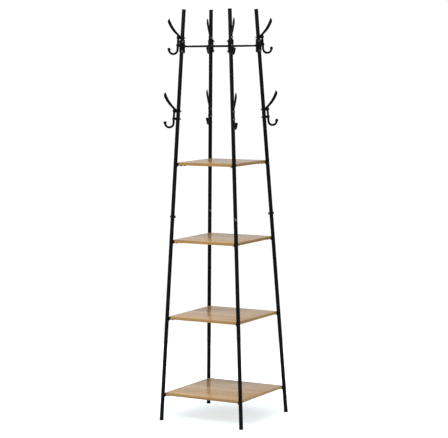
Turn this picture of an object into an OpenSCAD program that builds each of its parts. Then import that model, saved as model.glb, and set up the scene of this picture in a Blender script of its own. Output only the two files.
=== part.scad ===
// Corner hall tree: four leaning tube legs, four square shelves, a ring of rails and double coat hooks.
// Units are millimetres. +Z is up, -Y is the front, and the origin is the footprint's centre on the floor.

/* [Stand] */
// Height from the floor to the top of the legs
overall_h = 1800; // [1780:5:1900]
// Spacing of neighbouring leg centre lines on the floor
foot_span = 405; // [395:1:420]
// Spacing of neighbouring leg centre lines at the top
head_span = 229.4; // [224:0.2:236]

/* [Legs] */
// Outside diameter of the leg tube
tube_d = 17; // [16:0.5:18]
// Wall thickness of the leg tube
tube_wall = 1.2; // [1:0.1:1.5]
// Height of the bolt that joins the two halves of a leg
joint_h = 900; // [870:5:920]
// Length of the reduced end of the lower leg
spigot_l = 45; // [35:1:60]
// Height of the foot cap below the tube
foot_cap_h = 8; // [6:0.5:12]
// Height of the top cap above the tube
top_cap_h = 5; // [3:0.5:8]

/* [Shelves] */
// Thickness of a shelf board
shelf_t = 12; // [10:1:16]
// Height of the bottom shelf's upper face
first_shelf_h = 121.7; // [110:0.1:140]
// Distance from one shelf to the next
shelf_pitch = 338.3; // [330:0.1:342]
// Radius of a shelf board's upright corners
shelf_corner_r = 12; // [10:0.5:16]

/* [Rails] */
// Diameter of a rail
rail_d = 8; // [6:0.5:10]
// Height of the rail centre lines
rail_h = 1639.5; // [1636:0.5:1642]
// Height of a rail bracket
rail_bracket_h = 58; // [54:1:62]

/* [Hooks] */
// Height of the upper screw of the lower hooks
lower_hook_h = 1360; // [1340:5:1380]
// Height of the upper screw of the upper hooks
upper_hook_h = 1677; // [1674:1:1682]
// Distance between the two screws of a hook
hook_pitch = 33.5; // [32:0.5:35]
// Diameter of the hook's shank
hook_wire_d = 10; // [8:0.5:10]
// Distance from the leg centre line to the hook's shank
hook_reach = 18.4; // [17.5:0.1:19]
// Bend radius of the lower hook
hook_bend_r = 19; // [17:0.5:20]
// Diameter of the ball on the lower hook's end
hook_ball_d = 14.5; // [13:0.5:15]

/* [Hidden] */
$fn = 48;
overlap = 1;     // how far a cut runs past the face that it cuts
far = 200;       // size of a block that trims away one side of a part
slip = 0.05;     // radial clearance of a plug or screw in its hole

CORNERS = ["front_left", "front_right", "back_right", "back_left"];
SIDES = ["front", "right", "back", "left"];
SHELVES = ["bottom", "lower", "upper", "top"];
HOOK_ROWS = ["lower", "upper"];
FIRST_AZIMUTH = 225;
QUARTER = 90;
HALF_SECTOR = 30;    // half of the angle that one side of a hexagon spans

foot_r = foot_span / sqrt(2);
head_r = head_span / sqrt(2);
lean = atan((foot_r - head_r) / overall_h);
tube_r = tube_d / 2;
bore_r = tube_r - tube_wall;

seam_below_bolt = 19;
joint_s = joint_h / cos(lean);
seam_s = joint_s - seam_below_bolt;
leg_top_s = overall_h / cos(lean) - top_cap_h;
spigot_r = bore_r - 2 * slip;

joint_bolt_d = 6;
joint_head_d = 12;
joint_head_h = 4.2;
joint_nut_af = 10;
joint_nut_h = 5;

cap_lip = 0.5;
cap_chamfer = 0.8;
cap_plug_l = 18;

hook_heights = [lower_hook_h, upper_hook_h];
hook_screw_d = 4;
hook_head_d = 8;
hook_head_h = 2.7;
hook_nut_af = 7;
hook_nut_h = 3.2;
screw_end = 2.6;
hook_w = 8.6;
hook_boss_d = 11.5;
hook_seat_rise = 0.4;
hook_bend_s = -53;
arm_start = [9.5, 9.5];
arm_end = [61, 80.5];
arm_sagitta = 6;
arm_root_t = 8.6;
arm_leaf_t = 13.6;
arm_leaf_from = 0.74;
arm_tip_from = 0.84;
arm_tip_power = 1.8;
arm_steps = 24;
root_drop = 8.5;
root_w = 7;

rail_bracket_t = 2;
rail_bracket_bend_r = 3;
rail_bracket_corner_r = 6;
rail_bracket_reach = 9.5;
rail_bolt_offset = 21.3;
rail_bolt_d = 5;
rail_head_d = 9;
rail_head_h = 3.6;
rail_nut_af = 8;
rail_nut_h = 4;
rail_bolt_end = 3;

shelf_bracket_t = 2;
shelf_bracket_w = 16;
shelf_bracket_foot_w = 15;
shelf_bracket_drop = 5;
shelf_bracket_rise = 1;
shelf_bracket_reach = 50;
shelf_corner_gap = 10.1;
shelf_screw_reach = [26, 41.5];
shelf_screw_d = 3.5;
shelf_screw_depth = 9.5;
shelf_head_d = 8.5;
shelf_head_h = 3.6;

cross_w = 1.2;
cross_share = 0.6;

METAL = [0.09, 0.10, 0.11];
PLASTIC = [0.05, 0.05, 0.06];
ZINC = [0.30, 0.31, 0.32];
OAK = [0.76, 0.65, 0.54];

// ---- Where things are ----

// Distance of a leg's centre line from the middle axis at a height
function leg_r(z) = foot_r - z * tan(lean);
// Height of a shelf's upper face
function shelf_h(k) = first_shelf_h + k * shelf_pitch;
// Half the side of a shelf, before its corners are rounded
function shelf_half(k) =
    (leg_r(shelf_h(k)) - shelf_corner_gap + shelf_corner_r * (sqrt(2) - 1)) / sqrt(2);
// Distance from the middle axis to the inner face of a rail bracket's web
function web_r() = leg_r(rail_h + rail_bracket_h / 2) - tube_r / cos(lean) - rail_bracket_t;

// Turns the +X direction towards a corner of the stand
module to_corner(i) {
    rotate([0, 0, FIRST_AZIMUTH + QUARTER * i]) children();
}

// Leg frame of the +X corner: origin on the leg's centre line at a height, +Z along the leg, +X outwards
module along_leg(z) {
    translate([leg_r(z), 0, z]) rotate([0, -lean, 0]) children();
}

module on_leg(i, z) {
    to_corner(i) along_leg(z) children();
}

// Turns a part that points up so that it points outwards, inwards or along the tangent
module outwards() {
    rotate([0, 90, 0]) children();
}
module inwards() {
    rotate([0, -90, 0]) children();
}
module tangential() {
    rotate([-90, 0, 0]) children();
}
module backwards() {
    rotate([90, 0, 0]) children();
}

// ---- Fasteners, each standing on z = 0 and pointing up ----

// Domed head with a cross recess
module round_head(d, h) {
    dome_r = (d * d / 4 + h * h) / (2 * h);
    difference() {
        intersection() {
            cylinder(d = d, h = h);
            translate([0, 0, h - dome_r]) sphere(r = dome_r);
        }
        for (turn = [0, QUARTER])
            rotate([0, 0, turn])
                translate([-d * cross_share / 2, -cross_w / 2, h / 2])
                    cube([d * cross_share, cross_w, h]);
    }
}

// Head above z = 0 and a plain shank of length l below it
module round_head_screw(d, l, head_d, head_h) {
    round_head(head_d, head_h);
    translate([0, 0, -l]) cylinder(r = d / 2 - slip, h = l + overlap);
}

module hex_nut(d, af, h) {
    difference() {
        cylinder(d = af / cos(HALF_SECTOR), h = h, $fn = 6);
        translate([0, 0, -overlap]) cylinder(d = d, h = h + 2 * overlap);
    }
}

module through_hole(d) {
    translate([0, 0, -tube_d]) cylinder(r = d / 2, h = 2 * tube_d);
}

// ---- Legs ----

module tube(r, h) {
    difference() {
        cylinder(r = r, h = h);
        translate([0, 0, -overlap]) cylinder(r = r - tube_wall, h = h + 2 * overlap);
    }
}

// Step below the seam, where the lower leg narrows to the end that enters the upper leg
module shoulder() {
    translate([0, 0, -tube_wall]) difference() {
        cylinder(r = tube_r - tube_wall / 2, h = tube_wall);
        translate([0, 0, -overlap]) cylinder(r = spigot_r - tube_wall, h = tube_wall + 2 * overlap);
    }
}

module lower_leg() {
    color(METAL) difference() {
        union() {
            translate([0, 0, foot_cap_h]) tube(tube_r, seam_s - foot_cap_h);
            translate([0, 0, seam_s]) shoulder();
            translate([0, 0, seam_s - tube_wall]) tube(spigot_r, spigot_l + tube_wall);
        }
        translate([0, 0, joint_s]) outwards() through_hole(joint_bolt_d);
    }
}

module upper_leg() {
    color(METAL) difference() {
        translate([0, 0, seam_s]) tube(tube_r, leg_top_s - seam_s);
        translate([0, 0, joint_s]) outwards() through_hole(joint_bolt_d);
        for (z = hook_heights, drop = [0, hook_pitch])
            translate([0, 0, z / cos(lean) - drop]) outwards() through_hole(hook_screw_d);
        for (dz = [-rail_bolt_offset, rail_bolt_offset])
            translate([0, 0, (rail_h + dz) / cos(lean)]) tangential() through_hole(rail_bolt_d);
    }
}

// Plug in the foot of a leg, its lower face cut level with the floor
module foot_cap() {
    lip_r = tube_r + cap_lip;
    color(PLASTIC) difference() {
        union() {
            cylinder(r = spigot_r, h = foot_cap_h + cap_plug_l);
            translate([0, 0, -foot_cap_h]) cylinder(r = lip_r, h = 2 * foot_cap_h);
        }
        rotate([0, lean, 0]) translate([-far / 2, -far / 2, -far]) cube(far);
    }
}

module top_cap() {
    lip_r = tube_r + cap_lip;
    color(PLASTIC) {
        translate([0, 0, leg_top_s - cap_plug_l]) cylinder(r = spigot_r, h = cap_plug_l);
        translate([0, 0, leg_top_s]) cylinder(r = lip_r, h = top_cap_h - cap_chamfer);
        translate([0, 0, leg_top_s + top_cap_h - cap_chamfer])
            cylinder(r1 = lip_r, r2 = lip_r - cap_chamfer, h = cap_chamfer);
    }
}

module leg_joint_bolts() {
    length = 2 * tube_r + joint_nut_h;
    color(ZINC)
        for (i = [0:3])
            on_leg(i, joint_h) outwards() translate([0, 0, tube_r])
                round_head_screw(joint_bolt_d, length, joint_head_d, joint_head_h);
}

module leg_joint_nuts() {
    color(ZINC)
        for (i = [0:3])
            on_leg(i, joint_h) inwards() translate([0, 0, tube_r])
                hex_nut(joint_bolt_d, joint_nut_af, joint_nut_h);
}

// ---- Shelves ----

// Square with round corners, made of two bars and four discs
module rounded_square(half, r) {
    square([2 * half, 2 * (half - r)], center = true);
    square([2 * (half - r), 2 * half], center = true);
    for (x = [-1, 1], y = [-1, 1])
        translate([x * (half - r), y * (half - r)]) circle(r = r);
}

// Places a shelf screw's axis under a corner of shelf k, with its origin on the shelf's lower face
module at_shelf_screw(k, i, reach) {
    to_corner(i) translate([leg_r(shelf_h(k)) - reach, 0, shelf_h(k) - shelf_t]) children();
}

module shelf(k) {
    color(OAK) difference() {
        translate([0, 0, shelf_h(k) - shelf_t])
            linear_extrude(shelf_t) rounded_square(shelf_half(k), shelf_corner_r);
        for (i = [0:3], reach = shelf_screw_reach)
            at_shelf_screw(k, i, reach)
                translate([0, 0, -overlap]) cylinder(d = shelf_screw_d, h = shelf_screw_depth + overlap);
    }
}

// Strip with a round inner end, along +X from the end's tip
module bracket_foot_outline(l) {
    r = shelf_bracket_foot_w / 2;
    translate([r, 0]) circle(r = r);
    translate([r, -r]) square([l - r, 2 * r]);
}

// Tab along the leg, with a foot that runs inwards under the shelf
module shelf_bracket(k, i) {
    under = shelf_h(k) - shelf_t;
    foot_l = shelf_bracket_reach - tube_r - shelf_bracket_t / 2;
    color(METAL) difference() {
        union() {
            intersection() {
                on_leg(i, under)
                    translate([-tube_r - shelf_bracket_t, -shelf_bracket_w / 2, -far / 2])
                        cube([shelf_bracket_t, shelf_bracket_w, far]);
                translate([-foot_span, -foot_span, under - shelf_bracket_drop])
                    cube([2 * foot_span, 2 * foot_span, shelf_bracket_drop + shelf_t - shelf_bracket_rise]);
            }
            to_corner(i) translate([leg_r(under) - shelf_bracket_reach, 0, under - shelf_bracket_t])
                linear_extrude(shelf_bracket_t) bracket_foot_outline(foot_l);
        }
        for (reach = shelf_screw_reach)
            at_shelf_screw(k, i, reach)
                translate([0, 0, -far / 2]) cylinder(d = shelf_screw_d, h = far);
    }
}

module shelf_screws() {
    length = shelf_screw_depth + shelf_bracket_t - overlap;
    color(ZINC)
        for (k = [0:3], i = [0:3], reach = shelf_screw_reach)
            at_shelf_screw(k, i, reach) translate([0, 0, -shelf_bracket_t]) mirror([0, 0, 1])
                round_head_screw(shelf_screw_d, length, shelf_head_d, shelf_head_h);
}

// ---- Rails ----

// Section of a rail bracket with its bends rounded: reach_in is the web's distance from the middle axis
module channel_section(reach_in, half_w, bend_r) {
    reach_out = leg_r(rail_h) + rail_bracket_reach;
    translate([reach_in + bend_r, -half_w])
        square([reach_out - reach_in - bend_r, 2 * half_w]);
    translate([reach_in, bend_r - half_w])
        square([2 * bend_r, 2 * (half_w - bend_r)]);
    for (side = [-1, 1])
        translate([reach_in + bend_r, side * (half_w - bend_r)]) circle(r = bend_r);
}

// The space a rail bracket fills, its channel included
module rail_bracket_block() {
    translate([0, 0, rail_h - rail_bracket_h / 2]) linear_extrude(rail_bracket_h)
        channel_section(web_r(), tube_r + rail_bracket_t, rail_bracket_bend_r);
}

// Side view of a rail bracket, with the outer corners of its two flanges rounded
module flange_outline() {
    reach_out = leg_r(rail_h) + rail_bracket_reach;
    half_h = rail_bracket_h / 2;
    r = rail_bracket_corner_r;
    translate([web_r() - overlap, -half_h]) square([reach_out - web_r() + overlap - r, 2 * half_h]);
    translate([web_r(), r - half_h]) square([reach_out - web_r(), 2 * (half_h - r)]);
    for (side = [-1, 1])
        translate([reach_out - r, side * (half_h - r)]) circle(r = r);
}

// U-shaped bracket that stands upright, with the leg between its flanges
module rail_bracket() {
    inner_bend_r = rail_bracket_bend_r - rail_bracket_t;
    color(METAL) difference() {
        intersection() {
            rail_bracket_block();
            translate([0, far / 2, rail_h]) rotate([90, 0, 0]) linear_extrude(far) flange_outline();
        }
        translate([0, 0, rail_h - rail_bracket_h]) linear_extrude(2 * rail_bracket_h) union() {
            channel_section(web_r() + rail_bracket_t, tube_r, inner_bend_r);
            translate([leg_r(rail_h), -tube_r]) square(tube_d);
        }
        for (dz = [-rail_bolt_offset, rail_bolt_offset])
            translate([leg_r(rail_h + dz), 0, rail_h + dz]) tangential() through_hole(rail_bolt_d);
        along_leg(hook_heights[1]) translate([0, 0, -hook_pitch]) inwards()
            cylinder(d = hook_screw_d, h = tube_d);
    }
}

// Round bar along the front, cut off where it meets the two brackets
module rail() {
    half_l = leg_r(rail_h) / sqrt(2);
    color(METAL) difference() {
        translate([-half_l, -half_l, rail_h]) outwards() cylinder(d = rail_d, h = 2 * half_l);
        for (i = [0, 1])
            to_corner(i) rail_bracket_block();
    }
}

// Places a rail bracket bolt's axis, +Z along the tangent
module at_rail_bolts() {
    for (i = [0:3], dz = [-rail_bolt_offset, rail_bolt_offset])
        to_corner(i) translate([leg_r(rail_h + dz), 0, rail_h + dz]) children();
}

module rail_bracket_bolts() {
    grip = 2 * (tube_r + rail_bracket_t);
    color(ZINC)
        at_rail_bolts() tangential() translate([0, 0, grip / 2])
            round_head_screw(rail_bolt_d, grip + rail_nut_h + rail_bolt_end, rail_head_d, rail_head_h);
}

module rail_bracket_nuts() {
    color(ZINC)
        at_rail_bolts() backwards() translate([0, 0, tube_r + rail_bracket_t])
            hex_nut(rail_bolt_d, rail_nut_af, rail_nut_h);
}

// ---- Hooks, in the leg frame with the upper screw's axis along X at the origin ----

hook_seat = hook_reach + hook_wire_d / 2 + hook_seat_rise;
arm_chord = arm_end - arm_start;
arm_r = norm(arm_chord) * norm(arm_chord) / (8 * arm_sagitta) + arm_sagitta / 2;
arm_half_turn = asin(norm(arm_chord) / (2 * arm_r));
arm_from = atan2(arm_chord[1], arm_chord[0]) - arm_half_turn - 90;
arm_centre = arm_start - arm_r * [cos(arm_from), sin(arm_from)];

// Depth of the arm at a share f of its length: it swells to a leaf and runs out to a point
function arm_depth(f) = f < arm_tip_from
    ? arm_root_t + (arm_leaf_t - arm_root_t) * sin(90 * min(f / arm_leaf_from, 1))
    : arm_leaf_t * (1 - pow((f - arm_tip_from) / (1 - arm_tip_from), arm_tip_power));

// Point on the arm: the upper edge is an arc, and the depth is measured outwards from it
function arm_point(f, depth) =
    let(a = arm_from + 2 * arm_half_turn * f)
    arm_centre + (arm_r + depth) * [cos(a), sin(a)];

module arm_outline() {
    shares = [for (n = [0:arm_steps]) n / arm_steps];
    upper_edge = [for (f = shares) arm_point(f, 0)];
    lower_edge = [for (n = [arm_steps - 1:-1:0]) arm_point(shares[n], arm_depth(shares[n]))];
    polygon(concat(upper_edge, lower_edge));
}

// Web between the arm's root, the upper boss and the shank
module root_outline() {
    polygon([
        [tube_r - overlap, arm_start[1] - 2 * overlap],
        arm_point(0.02, arm_root_t / 4),
        arm_point(0.25, arm_root_t / 2),
        [hook_reach, -root_drop],
        [tube_r - overlap, -hook_boss_d / 2 - overlap]
    ]);
}

// Plate of a thickness in the plane of the hook
module hook_plate(w) {
    translate([0, w / 2, 0]) rotate([90, 0, 0]) linear_extrude(w) children();
}

module coat_hook() {
    wire_r = hook_wire_d / 2;
    color(METAL) difference() {
        union() {
            hook_plate(hook_w) arm_outline();
            hook_plate(root_w) root_outline();
            translate([hook_reach, 0, hook_bend_s]) cylinder(r = wire_r, h = wire_r - hook_bend_s);
            translate([hook_reach + hook_bend_r, 0, hook_bend_s]) rotate([-90, 0, 0])
                rotate_extrude(angle = 180) translate([hook_bend_r, 0]) circle(r = wire_r);
            translate([hook_reach + 2 * hook_bend_r, 0, hook_bend_s]) sphere(d = hook_ball_d);
            for (drop = [0, hook_pitch])
                translate([0, 0, -drop]) outwards() cylinder(d = hook_boss_d, h = hook_seat);
        }
        translate([0, 0, -far]) cylinder(r = tube_r, h = 2 * far);
        for (drop = [0, hook_pitch])
            translate([0, 0, -drop]) outwards() cylinder(d = hook_screw_d, h = hook_seat + overlap);
    }
}

// How far inside the leg's centre line the nut of a hook screw sits: one row's lower screw
// also goes through the web of the rail bracket
function nut_seat(row, drop) = row == 1 && drop > 0
    ? leg_r(hook_heights[row] - drop) - web_r() + hook_nut_af * tan(lean)
    : tube_r;

module hook_screws() {
    color(ZINC)
        for (i = [0:3], row = [0, 1], drop = [0, hook_pitch])
            on_leg(i, hook_heights[row]) translate([0, 0, -drop]) outwards() translate([0, 0, hook_seat])
                round_head_screw(hook_screw_d, hook_seat + nut_seat(row, drop) + hook_nut_h + screw_end,
                    hook_head_d, hook_head_h);
}

module hook_nuts() {
    color(ZINC)
        for (i = [0:3], row = [0, 1], drop = [0, hook_pitch])
            on_leg(i, hook_heights[row]) translate([0, 0, -drop]) inwards()
                translate([0, 0, nut_seat(row, drop)]) hex_nut(hook_screw_d, hook_nut_af, hook_nut_h);
}

// ---- Assembly ----

for (i = [0:3]) {
    on_leg(i, 0) lower_leg();
    on_leg(i, 0) upper_leg();
    on_leg(i, 0) foot_cap();
    on_leg(i, 0) top_cap();
    rotate([0, 0, QUARTER * i]) rail();
    to_corner(i) rail_bracket();
    for (row = [0, 1])
        on_leg(i, hook_heights[row]) coat_hook();
}
for (k = [0:3]) {
    shelf(k);
    for (i = [0:3])
        shelf_bracket(k, i);
}
leg_joint_bolts();
leg_joint_nuts();
rail_bracket_bolts();
rail_bracket_nuts();
hook_screws();
hook_nuts();
shelf_screws();
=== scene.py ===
"""Looks of the hall tree: detailed pieces that stand for the CAD nodes, their materials, the studio and the camera.

Lengths are in metres, in the CAD model's frame: +Z up, -Y front, and the origin on the floor under the middle axis.
"""

import math

import bmesh
import bpy
import numpy as np
from mathutils import Matrix, Vector


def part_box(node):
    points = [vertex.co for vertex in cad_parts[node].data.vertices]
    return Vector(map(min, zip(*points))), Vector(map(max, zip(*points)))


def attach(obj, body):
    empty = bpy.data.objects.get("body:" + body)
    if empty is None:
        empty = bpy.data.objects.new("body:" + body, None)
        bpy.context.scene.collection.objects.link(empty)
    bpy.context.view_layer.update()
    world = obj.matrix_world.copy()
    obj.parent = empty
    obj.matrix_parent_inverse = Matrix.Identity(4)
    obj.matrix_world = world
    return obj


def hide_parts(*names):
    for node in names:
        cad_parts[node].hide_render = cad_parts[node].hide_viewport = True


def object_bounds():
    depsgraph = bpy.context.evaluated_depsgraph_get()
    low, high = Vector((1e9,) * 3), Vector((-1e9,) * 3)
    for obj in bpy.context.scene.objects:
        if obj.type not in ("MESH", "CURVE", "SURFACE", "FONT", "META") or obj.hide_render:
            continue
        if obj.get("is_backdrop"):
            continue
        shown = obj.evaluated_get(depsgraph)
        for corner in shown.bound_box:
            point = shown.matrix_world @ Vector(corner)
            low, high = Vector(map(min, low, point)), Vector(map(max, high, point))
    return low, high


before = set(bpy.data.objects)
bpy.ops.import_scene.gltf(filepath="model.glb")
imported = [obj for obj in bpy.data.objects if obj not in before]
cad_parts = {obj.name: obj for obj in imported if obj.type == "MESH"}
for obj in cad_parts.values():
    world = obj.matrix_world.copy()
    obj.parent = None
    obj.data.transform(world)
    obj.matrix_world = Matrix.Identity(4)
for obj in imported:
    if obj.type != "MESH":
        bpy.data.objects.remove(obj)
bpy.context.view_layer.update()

MM = 0.001

# ---- Driving dimensions, the same as the CAD source's ----

OVERALL_H = 1800 * MM
FOOT_SPAN = 405 * MM
HEAD_SPAN = 229.4 * MM
TUBE_R = 8.5 * MM
TUBE_WALL = 1.2 * MM
JOINT_H = 900 * MM
SEAM_BELOW_BOLT = 19 * MM
SPIGOT_L = 45 * MM
FOOT_CAP_H = 8 * MM
TOP_CAP_H = 5 * MM
CAP_LIP = 0.5 * MM
CAP_PLUG_L = 18 * MM

SHELF_CORNER_R = 12 * MM
BAND_T = 0.8 * MM

RAIL_R = 4 * MM
RAIL_H = 1639.5 * MM
RAIL_BRACKET_H = 58 * MM
RAIL_BRACKET_T = 2 * MM
RAIL_BRACKET_BEND_R = 3 * MM
RAIL_BRACKET_CORNER_R = 6 * MM
RAIL_BRACKET_REACH = 9.5 * MM
RAIL_BOLT_OFFSET = 21.3 * MM

HOOK_HEIGHTS = {"lower": 1360 * MM, "upper": 1677 * MM}
HOOK_PITCH = 33.5 * MM
HOOK_WIRE_R = 5 * MM
HOOK_REACH = 18.4 * MM
HOOK_BEND_R = 19 * MM
HOOK_BEND_S = -53 * MM
HOOK_BALL_R = 7.25 * MM
HOOK_BOSS_R = 5.75 * MM
HOOK_BOSS_RISE = 0.4 * MM
HOOK_SEAT = HOOK_REACH + HOOK_WIRE_R + HOOK_BOSS_RISE
ARM_START = np.array([9.5, 9.5]) * MM
ARM_END = np.array([61.0, 80.5]) * MM
ARM_SAGITTA = 6 * MM
ARM_ROOT_T = 8.6 * MM
ARM_LEAF_T = 13.6 * MM
ARM_LEAF_FROM = 0.74
ARM_TIP_FROM = 0.84
ARM_TIP_POWER = 1.8

BRACKET_T = 2 * MM
BRACKET_W = 16 * MM
BRACKET_FOOT_W = 15 * MM
BRACKET_DROP = 5 * MM
BRACKET_RISE = 1 * MM
BRACKET_REACH = 50 * MM
SHELF_SCREW_REACH = (26 * MM, 41.5 * MM)

CORNERS = ("front_left", "front_right", "back_right", "back_left")
SIDES = ("front", "right", "back", "left")
SHELVES = ("bottom", "lower", "upper", "top")
FIRST_AZIMUTH = math.radians(225)
QUARTER = math.pi / 2

FOOT_R = FOOT_SPAN / math.sqrt(2)
HEAD_R = HEAD_SPAN / math.sqrt(2)
LEAN = math.atan((FOOT_R - HEAD_R) / OVERALL_H)
LEG_TOP_S = OVERALL_H / math.cos(LEAN) - TOP_CAP_H
JOINT_S = JOINT_H / math.cos(LEAN)
SEAM_S = JOINT_S - SEAM_BELOW_BOLT
SPIGOT_R = TUBE_R - TUBE_WALL - 0.1 * MM


def leg_r(z):
    """Distance of a leg's centre line from the middle axis at a height."""
    return FOOT_R - z * math.tan(LEAN)


def to_corner(i):
    """Turns the +X direction towards corner i."""
    return Matrix.Rotation(FIRST_AZIMUTH + QUARTER * i, 4, "Z")


def on_leg(i, z):
    """Leg frame: origin on leg i's centre line at height z, +Z along the leg, +X outwards."""
    return to_corner(i) @ Matrix.Translation((leg_r(z), 0, z)) @ Matrix.Rotation(-LEAN, 4, "Y")


OUTWARDS = Matrix.Rotation(QUARTER, 4, "Y")
INWARDS = Matrix.Rotation(-QUARTER, 4, "Y")
TANGENTIAL = Matrix.Rotation(-QUARTER, 4, "X")
BACKWARDS = Matrix.Rotation(QUARTER, 4, "X")
UPSIDE_DOWN = Matrix.Rotation(math.pi, 4, "X")


def up(distance):
    return Matrix.Translation((0, 0, distance))


def spin(angle):
    return Matrix.Rotation(angle, 4, "Z")


# ---- Mesh building ----

# A turned profile without a bore starts this far from its axis: AXIS_R on fasteners, CORE_R on caps and rails.
AXIS_R = 0.02 * MM
CORE_R = 0.3 * MM
# Angle at which a dome or a ball stops short of its pole
POLE_GAP = 0.02
# A direction that no weld runs along
OBLIQUE = (0.31, 0.52, 0.79)


class Part:
    """Vertices and faces that grow piece by piece."""

    def __init__(self):
        self.points = np.zeros((0, 3))
        self.faces = []

    def add(self, points, faces, matrix=None):
        points = np.asarray(points, float).reshape(-1, 3)
        if matrix is not None:
            m = np.array(matrix)
            points = points @ m[:3, :3].T + m[:3, 3]
        first = len(self.points)
        self.points = np.vstack([self.points, points])
        self.faces += [tuple(v + first for v in f) for f in faces]
        return self

    def merge(self, other, matrix=None):
        return self.add(other.points, other.faces, matrix)

    def object(self, name):
        mesh = bpy.data.meshes.new(name)
        mesh.from_pydata(self.points.tolist(), [], self.faces)
        b = bmesh.new()
        b.from_mesh(mesh)
        bmesh.ops.recalc_face_normals(b, faces=b.faces)
        b.to_mesh(mesh)
        b.free()
        made = bpy.data.objects.new(name, mesh)
        bpy.context.scene.collection.objects.link(made)
        return made


def loft(rings, loop=False):
    """Skin over rings of the same number of points: its last ring joins the first, or both ends are closed flat."""
    rings = np.asarray(rings, float)
    count, n = rings.shape[:2]
    faces = []
    for r in range(count if loop else count - 1):
        a, b = r * n, (r + 1) % count * n
        faces += [(a + k, a + (k + 1) % n, b + (k + 1) % n, b + k) for k in range(n)]
    if not loop:
        faces += [tuple(range(n))[::-1], tuple(range((count - 1) * n, count * n))]
    return Part().add(rings, faces)


def fillet(points, radius, steps=4, loop=True):
    """2D polyline with each corner rounded. radius is one value, or one for each corner."""
    points = [np.array(p, float) for p in points]
    n = len(points)
    radii = [radius] * n if np.isscalar(radius) else list(radius)
    made = []
    for k, p in enumerate(points):
        if radii[k] <= 0 or (not loop and k in (0, n - 1)):
            made.append(p)
            continue
        before, after = points[k - 1] - p, points[(k + 1) % n] - p
        d0, d1 = before / np.linalg.norm(before), after / np.linalg.norm(after)
        half = math.acos(max(-1, min(1, float(d0 @ d1)))) / 2
        cut = radii[k] / math.tan(half)
        centre = p + (d0 + d1) / np.linalg.norm(d0 + d1) * radii[k] / math.sin(half)
        start, end = p + d0 * cut - centre, p + d1 * cut - centre
        turn = math.pi - 2 * half
        for s in range(steps + 1):
            t = s / steps
            w0, w1 = math.sin((1 - t) * turn), math.sin(t * turn)
            made.append(centre + (w0 * start + w1 * end) / math.sin(turn))
    return np.array(made)


def turned(profile, sides=64, loop=True):
    """Surface of revolution about Z of (radius, height) points."""
    a = np.arange(sides) * 2 * math.pi / sides
    ring = np.stack([np.cos(a), np.sin(a)], 1)
    return loft([np.c_[r * ring, np.full(sides, z)] for r, z in profile], loop)


def outline_normals(outline):
    """Outward normals of a closed counter-clockwise 2D outline."""
    ahead = np.roll(outline, -1, 0) - outline
    ahead /= np.linalg.norm(ahead, axis=1)[:, None]
    tangent = ahead + np.roll(ahead, 1, 0)
    tangent /= np.linalg.norm(tangent, axis=1)[:, None]
    return np.stack([tangent[:, 1], -tangent[:, 0]], 1)


def prism(outline, low, high, edge_r, steps=3):
    """Solid between two heights over a closed outline, its edges rounded."""
    normals = outline_normals(outline)
    turns = [QUARTER * s / steps for s in range(steps + 1)]
    levels = [(edge_r * (1 - math.sin(t)), low + edge_r * (1 - math.cos(t))) for t in turns]
    levels += [(inset, low + high - z) for inset, z in reversed(levels)]
    return loft([np.c_[outline - normals * inset, np.full(len(outline), z)] for inset, z in levels])


def swept(points, normals, profiles):
    """Skin along a 3D line: each profile's (a, b) goes a along the point's normal and b along its second normal."""
    rings = []
    for p, (n1, n2), profile in zip(points, normals, profiles):
        rings.append(p + np.outer(profile[:, 0], n1) + np.outer(profile[:, 1], n2))
    return loft(rings)


def superellipse(half_a, half_b, power=2.0, sides=28):
    a = np.arange(sides) * 2 * math.pi / sides
    c, s = np.cos(a), np.sin(a)
    return np.stack(
        [half_a * np.sign(c) * np.abs(c) ** (2 / power), half_b * np.sign(s) * np.abs(s) ** (2 / power)], 1
    )


def ball(centre, radius, rings=16, sides=32):
    a = np.linspace(POLE_GAP, math.pi - POLE_GAP, rings)
    part = turned([(radius * math.sin(t), -radius * math.cos(t)) for t in a], sides, loop=False)
    return Part().merge(part, Matrix.Translation(centre))


def weld_bead(start, end, radius, pitch=1.1 * MM, sides=10):
    """Straight run of overlapping weld ripples that tapers at both ends."""
    start, end = np.array(start, float), np.array(end, float)
    length = np.linalg.norm(end - start)
    along = (end - start) / length
    side = np.cross(along, OBLIQUE)
    side /= np.linalg.norm(side)
    other = np.cross(along, side)
    count = max(8, int(length / pitch * 6))
    rings = []
    for t in np.linspace(0, 1, count):
        phase = (t * length / pitch) % 1
        ripple = 0.84 + 0.16 * math.sin(math.pi * phase)
        taper = math.sqrt(max(0.02, 1 - (2 * t - 1) ** 6))
        circle = superellipse(1, 1, 2, sides) * radius * ripple * taper
        rings.append(start + along * t * length + np.outer(circle[:, 0], side) + np.outer(circle[:, 1], other))
    return loft(rings)


def place(made, material, nodes, sharp_angle=35):
    """Finishes a piece: shading, material, body, and the CAD nodes that it stands for."""
    made.data.shade_smooth()
    made.data.set_sharp_from_angle(angle=math.radians(sharp_angle))
    made.data.materials.clear()
    made.data.materials.append(material)
    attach(made, "root")
    if nodes:
        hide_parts(*nodes)


def apply_modifiers(made):
    """Replaces an object's mesh by the one that its modifiers give."""
    graph = bpy.context.evaluated_depsgraph_get()
    mesh = bpy.data.meshes.new_from_object(made.evaluated_get(graph))
    made.modifiers.clear()
    made.data = mesh


def cut(made, cutter):
    """Takes cutter's volume out of an object, and removes cutter."""
    step = made.modifiers.new("cut", "BOOLEAN")
    step.operation = "DIFFERENCE"
    step.solver = "EXACT"
    step.object = cutter
    apply_modifiers(made)
    bpy.data.objects.remove(cutter)


def as_part(made):
    """The mesh of an object as a Part; the object is removed."""
    mesh = made.data
    part = Part().add([v.co[:] for v in mesh.vertices], [tuple(p.vertices) for p in mesh.polygons])
    bpy.data.objects.remove(made)
    return part


# ---- Materials ----

GRAIN_DEPTH_SCALE = 3.0


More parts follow.
